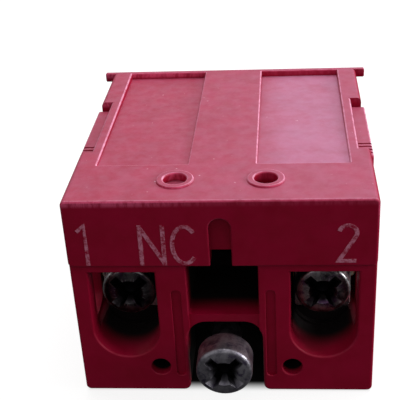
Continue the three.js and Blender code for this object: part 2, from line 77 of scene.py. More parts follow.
# Screw channel, window and key slot in the front
CHANNEL_HALF, CHANNEL_TOP, CHANNEL_CORNER, CHANNEL_WALL = 4.35, 9.7, 2.2, 1.0
CHANNEL_FOOT = 0.8
SEAT_FRONT, SEAT_REAR, LAST_RIB = 8.0, 11.0, 2.6
WINDOW_HALF, WINDOW_DEPTH, BAR_SETBACK = 4.0, 11.0, 0.5
KEY_HALF, KEY_TOP, KEY_DEPTH, KEY_OPEN_TOP = 1.2, 23.7, 1.2, 19.2

# Terminal pockets and wire entries
TERMINAL_X, TERMINAL_Z = 11.3, 11.6
POCKET_HALF, POCKET_LOW, POCKET_TOP = 3.8, 5.0, 16.7
THROAT_HALF, THROAT_LOW, FUNNEL_DEPTH = 3.45, 5.7, 5.5
CHAMBER_INNER, CHAMBER_FRONT, CHAMBER_LOW, CHAMBER_TOP = 7.6, 2.4, 7.8, 17.2
ENTRY_FRONT, ENTRY_REAR, ENTRY_LOW, ENTRY_TOP, ENTRY_RADIUS = 3.6, 7.9, 8.2, 15.2, 1.2
ENTRY_FLARE = 0.5

# Pegs, peg holes and the shallow grooves beside the pockets
PEG_X, PEG_Z, PEG_RADIUS, PEG_LENGTH, PEG_CHAMFER = 7.7, 3.5, 1.0, 2.4, 0.4
PEG_HOLE_RADIUS, PEG_HOLE_DEPTH = 1.15, 3.2
GROOVE_INNER, GROOVE_OUTER, GROOVE_LOW, GROOVE_TOP, GROOVE_DEPTH = 4.75, 5.85, 2.2, 14.3, 0.35

# Top: recesses, rings, rear lip and latch notches
TOP_STEP = 1.1
RECESS_INNER, RECESS_OUTER, RECESS_FRONT, RECESS_FRONT_DEPTH, RECESS_REAR_DEPTH = 3.95, 14.4, 8.6, 0.3, 0.85
LIP_DEPTH, LIP_OVERHANG = 0.7, 1.2
RING_X, RING_Y, RING_OUTER, RING_HOLE, RING_RIM = 5.0, 4.7, 2.1, 1.3, 0.25
RING_SHALLOW, RING_DEEP = 0.7, 3.5
LATCH_INNER, LATCH_FRONT, LATCH_REAR, LATCH_LOW, LATCH_PROUD = 15.6, 12.0, 27.0, 20.1, 0.4
LATCH_ARM, LATCH_CORNER, NOTCH_RIM = 1.5, 0.4, 0.25
PAD_GROOVES, PAD_GROOVE_PITCH, PAD_GROOVE_WIDTH, PAD_GROOVE_DEPTH = 4, 0.8, 0.35, 0.25

# Rear opening and its cover
CAVITY_HALF, CAVITY_LOW, CAVITY_TOP = HALF_WIDTH - WALL, 1.5, 23.8
COVER_SHOULDER, COVER_THICKNESS, STEM_HOLE_CORNER = 0.4, 2.6, 0.8
COVER_KEY_CORNER, COVER_KEY_EDGE = 0.9, 0.25

# Plunger with its slot for the bridge, springs and contacts
AXIS_Z, PUSH_REACH = 14.2, 5.6
GUIDE_WIDTH, GUIDE_CLEARANCE = 1.0, 1.5
STEM_HALF, STEM_CORNER, STEM_EDGE, RAIL_HALF, SHOULDER_HALF = 2.6, 0.7, 0.5, 3.4, 4.4
PLUNGER_LOW, PLUNGER_TOP, FIN_HALF, FIN_TOP, FIN_CORNER = 10.85, 18.3, 0.8, 22.6, 0.25
SLOT_FRONT, SLOT_REAR, FRONT_BAR, REAR_BAR_END, SHOULDER_THICKNESS = 21.6, 28.55, 1.6, 31.0, 1.6
TAIL_RADIUS, TAIL_END = 1.5, 11.6
CLOSED_TURN = 1.12
RETURN_COIL = {"radius": 2.7, "wire": 0.5, "turns": 6}
CONTACT_COIL = {"radius": 1.6, "wire": 0.4, "turns": 5}
BRIDGE_HALF, BRIDGE_FRONT, BRIDGE_THICKNESS, BRIDGE_HEIGHT, BRIDGE_CORNER = 11.6, 26.9, 0.8, 4.4, 1.6
BOSS_RADIUS, BOSS_LENGTH = 0.9, 1.0
CONTACT_X, TIP_RADIUS, TIP_THICKNESS, TIP_DOME = 9.5, 1.7, 0.7, 0.12
STRIP_THICKNESS, STRIP_LOW, STRIP_TOP, STRIP_TERMINAL_LOW = 0.9, 11.4, 17.0, 8.2
STRIP_OUTER, STRIP_INNER, STRIP_BEND, STRIP_FRONT, STRIP_REAR = 15.3, 7.4, 1.0, 7.4, 30.1

# Fasteners
HEAD_RADIUS, HEAD_ROUND, HEAD_CROWN, SHANK_RADIUS, POINT_CHAMFER = 3.2, 0.5, 0.25, 1.75, 0.6
THREAD_PITCH, THREAD_DEPTH, THREAD_ROWS = 0.6, 0.33, 6
# How deep into a screw's cross recess the painted shade becomes full
RECESS_SHADE_DEPTH = 0.5
RECESS_REACH, RECESS_ARM, RECESS_PIT, RECESS_DEPTH, RECESS_TURN = 2.75, 0.55, 1.65, 1.4, 45
TERMINAL_HEAD_FRONT, TERMINAL_HEAD_HEIGHT, TERMINAL_SCREW_LENGTH = 3.8, 2.3, 8.4
FIXING_Z, FIXING_PROUD, FIXING_HEAD_HEIGHT, FIXING_LENGTH, FIXING_THREAD = 5.6, 3.6, 3.6, 39.4, 12.0
FIXING_HOLE, SCREW_HOLE = 2.0, 1.85
CLAMP_HALF, CLAMP_HALF_HEIGHT, CLAMP_THICKNESS, CLAMP_HOLE, CLAMP_GAP = 3.3, 3.5, 1.15, 1.9, 0.05
CLAMP_GROOVES, CLAMP_GROOVE_PITCH, CLAMP_GROOVE_HALF, CLAMP_GROOVE_DEPTH = 5, 1.2, 0.25, 0.2
NUT_HALF, NUT_THICKNESS, NUT_RIM = 3.0, 2.2, 0.25
RETAINER_RADIUS, RETAINER_THICKNESS = 3.3, 1.0

# Terminal markings on the band: the height of the print, its strokes, and where each character stands
PRINT_LOW, PRINT_TOP, PRINT_STROKE, PRINT_PROUD = 17.95, 23.05, 0.46, 0.02
PRINT_ONE_X, PRINT_N_X, PRINT_C_X, PRINT_TWO_X = -14.65, -7.4, -3.85, 13.7

# How deep in the openings the painted shade starts and is full, how fast it builds up from each side, how
# far over the pegs that starts to change, and the height of the unshaded edge around the underside
SHADE_RANGE = (0.8, 2.8)
SHADE_FROM_TOP, SHADE_FROM_FRONT, SHADE_LOW_DOWN, SHADE_OVER_PEGS = 0.6, 0.62, 3.0, 0.7
FOOT_EDGE = (0.3, 0.6)

# Camera: its place from the middle of the front edge, and how it is turned, tilted and rolled
CAMERA_PLACE, CAMERA_ANGLES = (7.17, -83.78, 72.51), (4.905, 90 - 28.916, -2.983)
CAMERA_LENS, CAMERA_SHIFT = 82.4, -0.0435

# Light: the world's strength below the horizon, towards the front and towards the rear, and each lamp's
# place, size and power
WORLD_BELOW, WORLD_FRONT, WORLD_REAR = 0.12, 0.42, 0.8
OVERHEAD, OVERHEAD_SIZE, OVERHEAD_POWER = (60, 180, 420), 420, 1.1
RIGHT, RIGHT_SIZE, RIGHT_POWER = (380, -30, 140), 160, 0.9
# The floor's glow, and how far the painted shadow under the block fades out at the footprint's edges
FLOOR_GLOW, FLOOR_FADE = 0.85, 2.0

# How far a tool reaches past the face it opens, and a step too small to see that marks a rim's middle
PAST, SLIGHT = 1.0, 0.01

# A point stands on a rounded edge if its faces are this narrow and it juts out at least this much
NARROW, LEAST_BEND = 0.32 * MM, 0.2

# How round the meshes are, and where smooth shading stops
SAGITTA = 0.006
FILLET_STEPS = 3
DOME_STEPS = 4
COIL_STEPS, WIRE_SIDES = 36, 12
TURNED_SIDES, SCREW_SIDES = 48, 56
SHARP_ANGLE = math.radians(38)


# ---- Outlines: lists of points, in millimetres, that go round once ----

def arc(cu, cv, radius, start, end):
    """Points on an arc, with angles in degrees, close enough together to look round."""
    turn = math.radians(end - start)
    steps = max(3, math.ceil(abs(turn) / (2 * math.acos(1 - SAGITTA / radius))))
    angles = [math.radians(start) + turn * i / steps for i in range(steps + 1)]
    return [(cu + radius * math.cos(a), cv + radius * math.sin(a)) for a in angles]


def circle(cu, cv, radius, count=0):
    if not count:
        return arc(cu, cv, radius, 0, 360)[:-1]
    return ellipse(cu, cv, radius, radius, 0, 360 - 360 / count, count)


def ellipse(cu, cv, half_u, half_v, start, end, count):
    """Points on an ellipse, from one angle to another."""
    angles = [math.radians(start + (end - start) * i / (count - 1)) for i in range(count)]
    return [(cu + half_u * math.cos(a), cv + half_v * math.sin(a)) for a in angles]


def rounded(u0, u1, v0, v1, radius):
    return [
        *arc(u1 - radius, v0 + radius, radius, -90, 0),
        *arc(u1 - radius, v1 - radius, radius, 0, 90),
        *arc(u0 + radius, v1 - radius, radius, 90, 180),
        *arc(u0 + radius, v0 + radius, radius, 180, 270),
    ]


def centred(half, v0, v1, radius):
    return rounded(-half, half, v0, v1, radius)


def u_shape(middle, half, low, top):
    """Round at the bottom, with straight sides and a flat top."""
    return [*arc(middle, low + half, half, 180, 360), (middle + half, top), (middle - half, top)]


def span(side, inner, outer):
    """The stretch from inner to outer on the left (-1) or the right (1)."""
    return (inner, outer) if side > 0 else (-outer, -inner)


def on_side(side, outline):
    """The outline, drawn on the right, as it is on the left (-1) or the right (1)."""
    return outline if side > 0 else [(-u, v) for u, v in reversed(outline)]


def rotated(outline, cu, cv, degrees):
    cos, sin = math.cos(math.radians(degrees)), math.sin(math.radians(degrees))
    return [(cu + u * cos - v * sin, cv + u * sin + v * cos) for u, v in outline]


def steps_between(points, following):
    """The ways from each point to the one that follows it."""
    return [Vector(end) - Vector(start) for start, end in zip(points, following)]


def moved(point, before, after, distance):
    """A corner moved to the right, by the same distance from the steps before and after it."""
    normals = [Vector((step.y, -step.x)).normalized() for step in (before, after)]
    reach = distance / max(1 + normals[0].dot(normals[1]), 0.5)
    return tuple(Vector(point) + (normals[0] + normals[1]) * reach)


def grown(outline, distance):
    """The outline with every point moved outward along its corner's bisector."""
    if not distance:
        return outline
    steps = steps_between(outline, outline[1:] + outline[:1])
    return [moved(point, steps[i - 1], steps[i], distance) for i, point in enumerate(outline)]


# ---- Meshes ----

def to_frame(axis, u, v, w):
    """A point of an outline (u, v) at w along an axis, in metres in the frame's axes."""
    x, y, z = {"x": (w, u, v), "y": (u, w, v), "z": (u, v, w)}[axis]
    return Vector((x, y + FRONT_Y, z)) * MM


def add_object(name, data):
    made = bpy.data.objects.new(name, data)
    bpy.context.scene.collection.objects.link(made)
    return made


def piece_from(name, bm):
    bmesh.ops.recalc_face_normals(bm, faces=bm.faces)
    mesh = bpy.data.meshes.new(name)
    bm.to_mesh(mesh)
    bm.free()
    return add_object(name, mesh)


def skinned(name, bm, rings):
    """A closed solid through rings of the same length, with a cap on each end."""
    for ring, following in zip(rings, rings[1:]):
        for i in range(len(ring)):
            bm.faces.new((ring[i - 1], ring[i], following[i], following[i - 1]))
    bm.faces.new(rings[0])
    bm.faces.new(rings[-1])
    return piece_from(name, bm)


def loft(axis, layers, name="tool"):
    """A closed solid through outlines of the same length, each given with its place on the axis."""
    bm = bmesh.new()
    rings = [[bm.verts.new(to_frame(axis, u, v, w)) for u, v in outline] for outline, w in layers]
    return skinned(name, bm, rings)


def fillet(radius):
    """A quarter round, from the face to the wall: pairs of depth and sideways distance."""
    angles = [math.pi / 2 * (1 - i / FILLET_STEPS) for i in range(FILLET_STEPS + 1)]
    return [(radius * (1 - math.sin(a)), radius * (1 - math.cos(a))) for a in angles]


def end_layers(outline, end, radius, inward, flare=-1):
    """Layers from an end inward that round its edge, or with a flare of 1 open it out."""
    if not radius:
        return [(outline, end)]
    return [(grown(outline, flare * side), end + inward * depth) for depth, side in fillet(radius)]


def prism(axis, outline, low, high, round_low=0.0, round_high=0.0, name="tool"):
    """An extruded outline, with the edges of its two ends rounded."""
    layers = end_layers(outline, low, round_low, 1) + end_layers(outline, high, round_high, -1)[::-1]
    return loft(axis, layers, name)


def opening(axis, outline, face, inner, rim, direction=1):
    """A cutting tool that goes from past a face inward, and leaves a rounded rim in that face."""
    mouth = end_layers(outline, face, rim, direction, 1)
    return loft(axis, [(mouth[0][0], face - direction * PAST), *mouth, (outline, inner)])


def block(x0, x1, y0, y1, z0, z1):
    return loft("z", [([(x0, y0), (x1, y0), (x1, y1), (x0, y1)], z) for z in (z0, z1)])


def nose(radius, end, rounding, inward):
    """The rounded edge of a turned form, from its end inward: pairs of radius and Y."""
    return [(radius - side, end + inward * depth) for depth, side in fillet(rounding)]


def turned(profile, x, z, sides=TURNED_SIDES, thread=None, name="tool"):
    """A form turned on an axis along Y, from pairs of radius and Y that start and end on the axis.

    thread is the start and end of a stretch of the profile that gets a screw thread."""
    bm = bmesh.new()
    rings = []
    for radius, y in profile:
        count = sides if radius else 1
        ring = []
        for i in range(count):
            angle = 2 * math.pi * i / sides
            reach = radius - (thread_depth(angle, y, *thread) if thread and radius else 0)
            ring.append((x + reach * math.cos(angle), z + reach * math.sin(angle)))
        rings.append([bm.verts.new(to_frame("y", u, v, y)) for u, v in ring])
    for ring, following in zip(rings, rings[1:]):
        for i in range(sides):
            corners = [ring[(i - 1) % len(ring)], ring[i % len(ring)]]
            corners += [following[i % len(following)], following[(i - 1) % len(following)]]
            bm.faces.new(list(dict.fromkeys(corners)))
    return piece_from(name, bm)


def thread_depth(angle, y, start, end):
    """How deep a right-hand thread is cut here; it fades in and out over one pitch at its ends."""
    fade = min((y - start) / THREAD_PITCH, (end - y) / THREAD_PITCH, 1)
    turn = (y / THREAD_PITCH + angle / (2 * math.pi)) % 1
    return THREAD_DEPTH * max(fade, 0) * abs(2 * turn - 1)


def coil(name, front, rear, radius, wire, turns):
    """A compression spring around the plunger's axis, with a closed turn at each end."""
    closed = CLOSED_TURN * wire
    pitch = (rear - front - wire - 2 * closed) / (turns - 2)
    bm = bmesh.new()
    rings = []
    for step in range(COIL_STEPS * turns + 1):
        turn = step / COIL_STEPS
        middle = min(max(turn - 1, 0), turns - 2)
        y = front + wire / 2 + closed * (min(turn, 1) + max(turn - turns + 1, 0)) + pitch * middle
        angle = 2 * math.pi * turn
        ring = []
        for side in range(WIRE_SIDES):
            around = 2 * math.pi * side / WIRE_SIDES
            reach = radius + wire / 2 * math.cos(around)
            u, v = reach * math.cos(angle), AXIS_Z + reach * math.sin(angle)
            ring.append(bm.verts.new(to_frame("y", u, v, y + wire / 2 * math.sin(around))))
        rings.append(ring)
    return skinned(name, bm, rings)


def combine(piece, tools, operation):
    """Joins the tools to the piece, or cuts them out of it, one after the other."""
    for tool in tools:
        modifier = piece.modifiers.new(operation, "BOOLEAN")
        modifier.operation = operation
        modifier.solver = "EXACT"
        modifier.object = tool
    depsgraph = bpy.context.evaluated_depsgraph_get()
    mesh = bpy.data.meshes.new_from_object(piece.evaluated_get(depsgraph))
    piece.modifiers.clear()
    piece.data = mesh
    for tool in tools:
        bpy.data.objects.remove(tool)
    return piece


def join(piece, tools):
    return combine(piece, tools, "UNION")


def cut(piece, tools):
    return combine(piece, tools, "DIFFERENCE")


def gather(name, pieces):
    """One object that holds several closed forms as they are."""
    bm = bmesh.new()
    for piece in pieces:
        bm.from_mesh(piece.data)
        bpy.data.objects.remove(piece)
    return piece_from(name, bm)


def is_narrow(face):
    return 2 * face.calc_area() / max(face.calc_perimeter(), 1e-9) < NARROW


def mark_edges(piece):
    """Stores in 'edge' how far a point stands on a rounded outer edge, where wear shows first and the red
    plastic also gets painted highlights.
    """
    bm = bmesh.new()
    bm.from_mesh(piece.data)
    bmesh.ops.remove_doubles(bm, verts=bm.verts, dist=0.0015 * MM)
    bmesh.ops.dissolve_limit(bm, angle_limit=math.radians(0.3), verts=bm.verts, edges=bm.edges)
    layer = bm.verts.layers.float.new("edge")
    bent = set()
    for vert in bm.verts:
        outward = sum(((vert.co - e.other_vert(vert).co).normalized() for e in vert.link_edges), Vector())
        if outward.dot(vert.normal) > LEAST_BEND and all(is_narrow(face) for face in vert.link_faces):
            bent.add(vert)
    for vert in bent:
        fades_far = any(e.calc_length() > NARROW and e.other_vert(vert) not in bent for e in vert.link_edges)
        vert[layer] = 0.0 if fades_far else 1.0
    bm.to_mesh(piece.data)
    bm.free()


def settle(piece, body, material, slot, *nodes):
    """Shades a finished piece, ties it to its body, and hides the CAD nodes that it stands for."""
    mark_edges(piece)
    mesh = piece.data
    mesh.materials.clear()
    mesh.materials.append(material)
    mesh.shade_smooth()
    mesh.set_sharp_from_angle(angle=SHARP_ANGLE)
    weighted = piece.modifiers.new("normals", "WEIGHTED_NORMAL")
    weighted.keep_sharp = True
    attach(piece, body)
    if nodes:
        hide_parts(*nodes)


# ---- Housing ----

def channel_outline():
    straight_top = CHANNEL_TOP - CHANNEL_CORNER
    arch = CHANNEL_HALF - CHANNEL_CORNER
    foot = CHANNEL_HALF + CHANNEL_FOOT
    return [
        (foot, -PAST),
        (foot, 0),
        *reversed(arc(foot, CHANNEL_FOOT, CHANNEL_FOOT, 180, 270)[:-1]),
        *arc(arch, straight_top, CHANNEL_CORNER, 0, 90),
        *arc(-arch, straight_top, CHANNEL_CORNER, 90, 180),
        *reversed(arc(-foot, CHANNEL_FOOT, CHANNEL_FOOT, -90, 0)[1:]),
        (-foot, 0),
        (-foot, -PAST),
    ]


def cavity_outline(grow=0.0, clear=0.0):
    """The room inside, grown outward; it straddles the channel, and may stay clear of its wall."""
    half, low, top = CAVITY_HALF + grow, CAVITY_LOW - grow, CAVITY_TOP + grow
    straddle, roof = CHANNEL_HALF + CHANNEL_WALL + clear, CHANNEL_TOP + CHANNEL_WALL + clear
    left = [(-half, low), (-straddle, low), (-straddle, roof)]
    right = [(straddle, roof), (straddle, low), (half, low)]
    return [*left, *right, (half, top), (-half, top)]


def housing_outside():
    body_outline = centred(HALF_WIDTH, 0, HEIGHT, CORNER)
    body = prism("y", body_outline, BAND_PROUD, DEPTH, EDGE_WIDE, EDGE, "housing_shell")
    band = prism("y", centred(HALF_WIDTH, BAND_LOW, HEIGHT, CORNER), 0, BLOCK_DEPTH / 2, EDGE_WIDE)
    lip_outline = centred(HALF_WIDTH + LIP_OVERHANG, HEIGHT - TOP_STEP - GAP, HEIGHT, EDGE)
    lip = prism("y", lip_outline, DEPTH - LIP_DEPTH, DEPTH, EDGE_THIN, EDGE_THIN)
    return join(body, [band, lip, ring_rim(-1), ring_rim(1)])


def ring_rim(side):
    outline = circle(side * RING_X, RING_Y, RING_OUTER)
    return prism("z", outline, HEIGHT - GAP, HEIGHT + RING_RIM, 0, EDGE)


def terminal_tools(side):
    x = side * TERMINAL_X
    pocket = u_shape(x, POCKET_HALF, POCKET_LOW, POCKET_TOP)
    throat = u_shape(x, THROAT_HALF, THROAT_LOW, POCKET_TOP)
    mouth = end_layers(pocket, BAND_PROUD, RIM, 1, 1)
    funnel_end = (grown(pocket, THROAT_HALF - POCKET_HALF), BAND_PROUD + FUNNEL_DEPTH)
    entry = rounded(ENTRY_FRONT, ENTRY_REAR, ENTRY_LOW, ENTRY_TOP, ENTRY_RADIUS)
    outside = side * HALF_WIDTH
    wide = grown(entry, ENTRY_FLARE)
    chamber = span(side, CHAMBER_INNER, CAVITY_HALF)
    return [
        loft("y", [(mouth[0][0], BAND_PROUD - PAST), *mouth, funnel_end]),
        loft("y", [(throat, -PAST), (throat, FUNNEL_DEPTH + PAST)]),
        block(*chamber, CHAMBER_FRONT, BLOCK_DEPTH + PAST, CHAMBER_LOW, CHAMBER_TOP),
        loft("x", [
            (entry, side * (CAVITY_HALF - PAST)),
            (entry, outside - side * ENTRY_FLARE),
            (wide, outside),
            (wide, outside + side * PAST),
        ]),
    ]


def window_tools():
    roof = CHANNEL_TOP + CHANNEL_WALL
    window = centred(WINDOW_HALF, roof, BAND_LOW, EDGE_WIDE)
    key = [
        *arc(0, KEY_TOP - KEY_HALF, KEY_HALF, 0, 180),
        (-KEY_HALF, BAND_LOW - PAST),
        (KEY_HALF, BAND_LOW - PAST),
    ]
    bar_face = BAND_PROUD + BAR_SETBACK
    return [
        opening("y", window, BAND_PROUD, WINDOW_DEPTH, EDGE_SMALL),
        block(-WINDOW_HALF, WINDOW_HALF, -PAST, BAND_PROUD, BAND_LOW - GAP, BAND_LOW),
        block(-WINDOW_HALF, WINDOW_HALF, -PAST, bar_face, CHANNEL_TOP - PAST, roof + PAST),
        opening("y", key, 0, KEY_DEPTH, EDGE),
        block(-KEY_HALF, KEY_HALF, 0, WINDOW_DEPTH / 2, BAND_LOW - PAST, KEY_OPEN_TOP),
        prism("y", circle(0, AXIS_Z, TAIL_RADIUS + 2 * GAP), WINDOW_DEPTH - PAST, BLOCK_DEPTH + PAST),
    ]


def top_tools(side):
    low, high = span(side, RECESS_INNER, RECESS_OUTER)
    rear = DEPTH - LIP_DEPTH
    recess = rounded(low, high, RECESS_FRONT, rear, EDGE_FINE)
    slope = [
        (RECESS_FRONT, HEIGHT - RECESS_FRONT_DEPTH),
        (rear, HEIGHT - RECESS_REAR_DEPTH),
        (rear, HEIGHT + PAST),
        (RECESS_FRONT, HEIGHT + PAST),
    ]
    hole_depth = RING_SHALLOW if side < 0 else RING_DEEP
    hole = circle(side * RING_X, RING_Y, RING_HOLE)
    notch = rounded(LATCH_FRONT, LATCH_REAR, LATCH_LOW, HEIGHT + PAST, EDGE_WIDE)
    slot = span(side, CAVITY_HALF - PAST, LATCH_INNER + GAP)
    return [
        opening("z", recess, HEIGHT, HEIGHT - RECESS_FRONT_DEPTH + GAP / 2, RIM, -1),
        loft("x", [(slope, low), (slope, high)]),
        opening("z", hole, HEIGHT + RING_RIM, HEIGHT - hole_depth, RIM, -1),
        prism("x", notch, *span(side, LATCH_INNER, HALF_WIDTH + PAST)),
        notch_rim(side),
        block(*slot, BLOCK_DEPTH, LATCH_REAR, LATCH_LOW, CAVITY_TOP),
    ]


def notch_rim(side):
    """Rounds the top edge along the latch notch."""
    outer, top = LATCH_INNER + GAP, HEIGHT + PAST
    curve = [(LATCH_INNER - distance, HEIGHT - depth) for depth, distance in fillet(NOTCH_RIM)]
    low = HEIGHT - NOTCH_RIM
    rim = on_side(side, [(LATCH_INNER - NOTCH_RIM, top), *curve, (outer, low), (outer, top)])
    middle = grown(rim, SLIGHT)
    return loft("y", [
        (rim, LATCH_FRONT),
        (middle, LATCH_FRONT + 2 * GAP),
        (middle, LATCH_REAR - 2 * GAP),
        (rim, LATCH_REAR),
    ])


def rear_tools():
    """The room for the plunger, and the wider seat of the cover."""
    return [
        prism("y", cavity_outline(), BLOCK_DEPTH, DEPTH + PAST),
        prism("y", cavity_outline(COVER_SHOULDER), DEPTH - COVER_THICKNESS, DEPTH + PAST),
    ]


def front_small_tools(side):
    groove = rounded(*span(side, GROOVE_INNER, GROOVE_OUTER), GROOVE_LOW, GROOVE_TOP, SMALL_CORNER)
    hole = circle(side * PEG_X, PEG_Z, PEG_HOLE_RADIUS)
    return [
        opening("y", hole, BAND_PROUD, PEG_HOLE_DEPTH, EDGE_SMALL),
        opening("y", groove, BAND_PROUD, BAND_PROUD + GROOVE_DEPTH, EDGE_FINE),
    ]


def channel_ribs():
    """The fixing screw's seat, and its guide at the rear."""
    half = CHANNEL_HALF + CHANNEL_WALL / 2
    top = CHANNEL_TOP + CHANNEL_WALL / 2
    return [
        block(-half, half, SEAT_FRONT, SEAT_REAR, 0, top),
        block(-half, half, DEPTH - LAST_RIB, DEPTH, 0, top),
    ]


def fin_guides():
    """Two ribs under the roof that hold the plunger's fin upright."""
    inner = FIN_HALF + GAP
    ends = BLOCK_DEPTH - PAST, DEPTH - COVER_THICKNESS - GAP
    heights = PLUNGER_TOP + GUIDE_CLEARANCE, CAVITY_TOP + GAP
    return [block(*span(side, inner, inner + GUIDE_WIDTH), *ends, *heights) for side in (-1, 1)]


def housing():
    shell = cut(housing_outside(), rear_tools())
    channel = channel_outline()
    shell = cut(shell, [prism("y", channel, -PAST, DEPTH + PAST)])
    shell = join(shell, [*channel_ribs(), *fin_guides()])
    mouth = opening("y", channel, BAND_PROUD, BAND_PROUD + PAST, EDGE_WIDE)
    screw_hole = prism("y", circle(0, FIXING_Z, FIXING_HOLE), -PAST, DEPTH + PAST)
    shell = cut(shell, [mouth, screw_hole, *window_tools()])
    for side in (-1, 1):
        shell = cut(shell, [*top_tools(side), *terminal_tools(side), *front_small_tools(side)])
    return shell


# ---- Rear cover ----

def latch(side):
    """An arm inside the side wall, and the ribbed pad that it holds in the housing's notch."""
    low, arm_top = LATCH_LOW + 2 * GAP, CAVITY_TOP - 3 * GAP
    arm_front, pad_front, pad_rear = BLOCK_DEPTH + 2 * GAP, LATCH_FRONT + 2 * GAP, LATCH_REAR - 2 * GAP
    arm_inner, pad_inner = CAVITY_HALF - LATCH_ARM, LATCH_INNER + GAP
    face = side * (HALF_WIDTH + LATCH_PROUD)
    outline = rounded(pad_front, pad_rear, low, HEIGHT - TOP_STEP, LATCH_CORNER)
    pad = loft("x", [*end_layers(outline, face, EDGE, -side), (outline, side * pad_inner)])
    grooves = []
    across = span(side, HALF_WIDTH + LATCH_PROUD - PAD_GROOVE_DEPTH, HALF_WIDTH + PAST)
    whole = span(side, LATCH_INNER - PAST, HALF_WIDTH + PAST)
    for i in range(PAD_GROOVES):
        front = pad_front + PAD_GROOVE_PITCH * (i + 1)
        rear = front + PAD_GROOVE_WIDTH
        grooves.append(block(*across, front, rear, low - PAST, HEIGHT))
        grooves.append(block(*whole, front, rear, HEIGHT - TOP_STEP - PAD_GROOVE_DEPTH / 2, HEIGHT))
    return [
        block(*span(side, arm_inner, CAVITY_HALF - 2 * GAP), arm_front, DEPTH - PAST, low, arm_top),
        block(*span(side, arm_inner, pad_inner + 4 * GAP), arm_front, pad_rear, low, arm_top),
        cut(pad, grooves),
    ]


def peg(side):
    end = DEPTH + PEG_LENGTH
    tip = nose(PEG_RADIUS, end, PEG_CHAMFER, -1)[::-1]
    profile = [(0, DEPTH - PAST), (PEG_RADIUS, DEPTH - PAST), *tip, (0, end)]
    return turned(profile, side * PEG_X, PEG_Z)


def rear_cover():
    outline = cavity_outline(COVER_SHOULDER - GAP, GAP)
    front = DEPTH - COVER_THICKNESS + GAP
    plate = prism("y", outline, front, DEPTH, 0, EDGE_SMALL, "cover_moulding")
    key_half, key_low, key_top = KEY_HALF - 2 * GAP, BAND_LOW + 3 * GAP, KEY_TOP - 3 * GAP
    key_outline = centred(key_half, key_low, key_top, COVER_KEY_CORNER)
    key = prism("y", key_outline, DEPTH - PAST, DEPTH + KEY_DEPTH - 2 * GAP, 0, COVER_KEY_EDGE)
    stem = STEM_HALF + GAP
    stem_hole = centred(stem, AXIS_Z - stem, AXIS_Z + stem, STEM_HOLE_CORNER)
    cover = join(plate, [*latch(-1), *latch(1), peg(-1), peg(1), key])
    return cut(cover, [opening("y", stem_hole, DEPTH, DEPTH - COVER_THICKNESS - PAST, EDGE, -1)])


# ---- Plunger, springs and contacts ----

def plunger():
    cover_face = DEPTH - COVER_THICKNESS
    front = SLOT_FRONT - FRONT_BAR
    rail = centred(RAIL_HALF, PLUNGER_LOW, PLUNGER_TOP, SMALL_CORNER)
    shoulder = centred(SHOULDER_HALF, PLUNGER_LOW, PLUNGER_TOP, SMALL_CORNER)
    stem = centred(STEM_HALF, AXIS_Z - STEM_HALF, AXIS_Z + STEM_HALF, STEM_CORNER)
    fin = centred(FIN_HALF, PLUNGER_TOP - PAST, FIN_TOP, FIN_CORNER)
    tip, tail_rear = nose(TAIL_RADIUS, TAIL_END, PEG_CHAMFER, 1), SLOT_FRONT - GAP
    tail = turned([(0, TAIL_END), *tip, (TAIL_RADIUS, tail_rear), (0, tail_rear)], 0, AXIS_Z)
    body = join(prism("y", rail, front, REAR_BAR_END, EDGE, 0, "plunger_moulding"), [
        prism("y", stem, REAR_BAR_END - PAST, DEPTH + PUSH_REACH, 0, STEM_EDGE),
        prism("y", shoulder, cover_face - SHOULDER_THICKNESS, cover_face, EDGE_SMALL, EDGE_SMALL),
        prism("y", fin, front, cover_face - GAP, EDGE_SMALL, EDGE_SMALL),
        tail,
    ])
    half = BRIDGE_HEIGHT / 2 + GAP
    across = SHOULDER_HALF + PAST
    window = rounded(SLOT_FRONT, SLOT_REAR, AXIS_Z - half, AXIS_Z + half, EDGE)
    return cut(body, [loft("x", [(window, -across), (window, across)])])


def bridge():
    low = AXIS_Z - BRIDGE_HEIGHT / 2
    rear = BRIDGE_FRONT + BRIDGE_THICKNESS
    outline = centred(BRIDGE_HALF, low, low + BRIDGE_HEIGHT, BRIDGE_CORNER)
    strip = prism("y", outline, BRIDGE_FRONT, rear, EDGE_THIN, EDGE_THIN, "bridge_strip")
    start, end = BRIDGE_FRONT - BOSS_LENGTH, BRIDGE_FRONT + BRIDGE_THICKNESS / 2
    boss = [(0, start), *nose(BOSS_RADIUS, start, EDGE_WIDE, 1), (BOSS_RADIUS, end), (0, end)]
    return join(strip, [turned(boss, 0, AXIS_Z)])


def rivet(name, side, seat, facing):
    """A contact tip with a slightly domed face; facing is the way it looks along Y."""
    edge = nose(TIP_RADIUS, TIP_THICKNESS - TIP_DOME, EDGE, -1)[::-1]
    shares = [1 - i / DOME_STEPS for i in range(1, DOME_STEPS + 1)]
    dome = [(edge[-1][0] * share, TIP_THICKNESS - TIP_DOME * share ** 2) for share in shares]
    profile = [(0, 0), (TIP_RADIUS, 0), *edge, *dome]
    placed = [(radius, seat + facing * y) for radius, y in profile]
    return turned(placed, side * CONTACT_X, AXIS_Z, name=name)


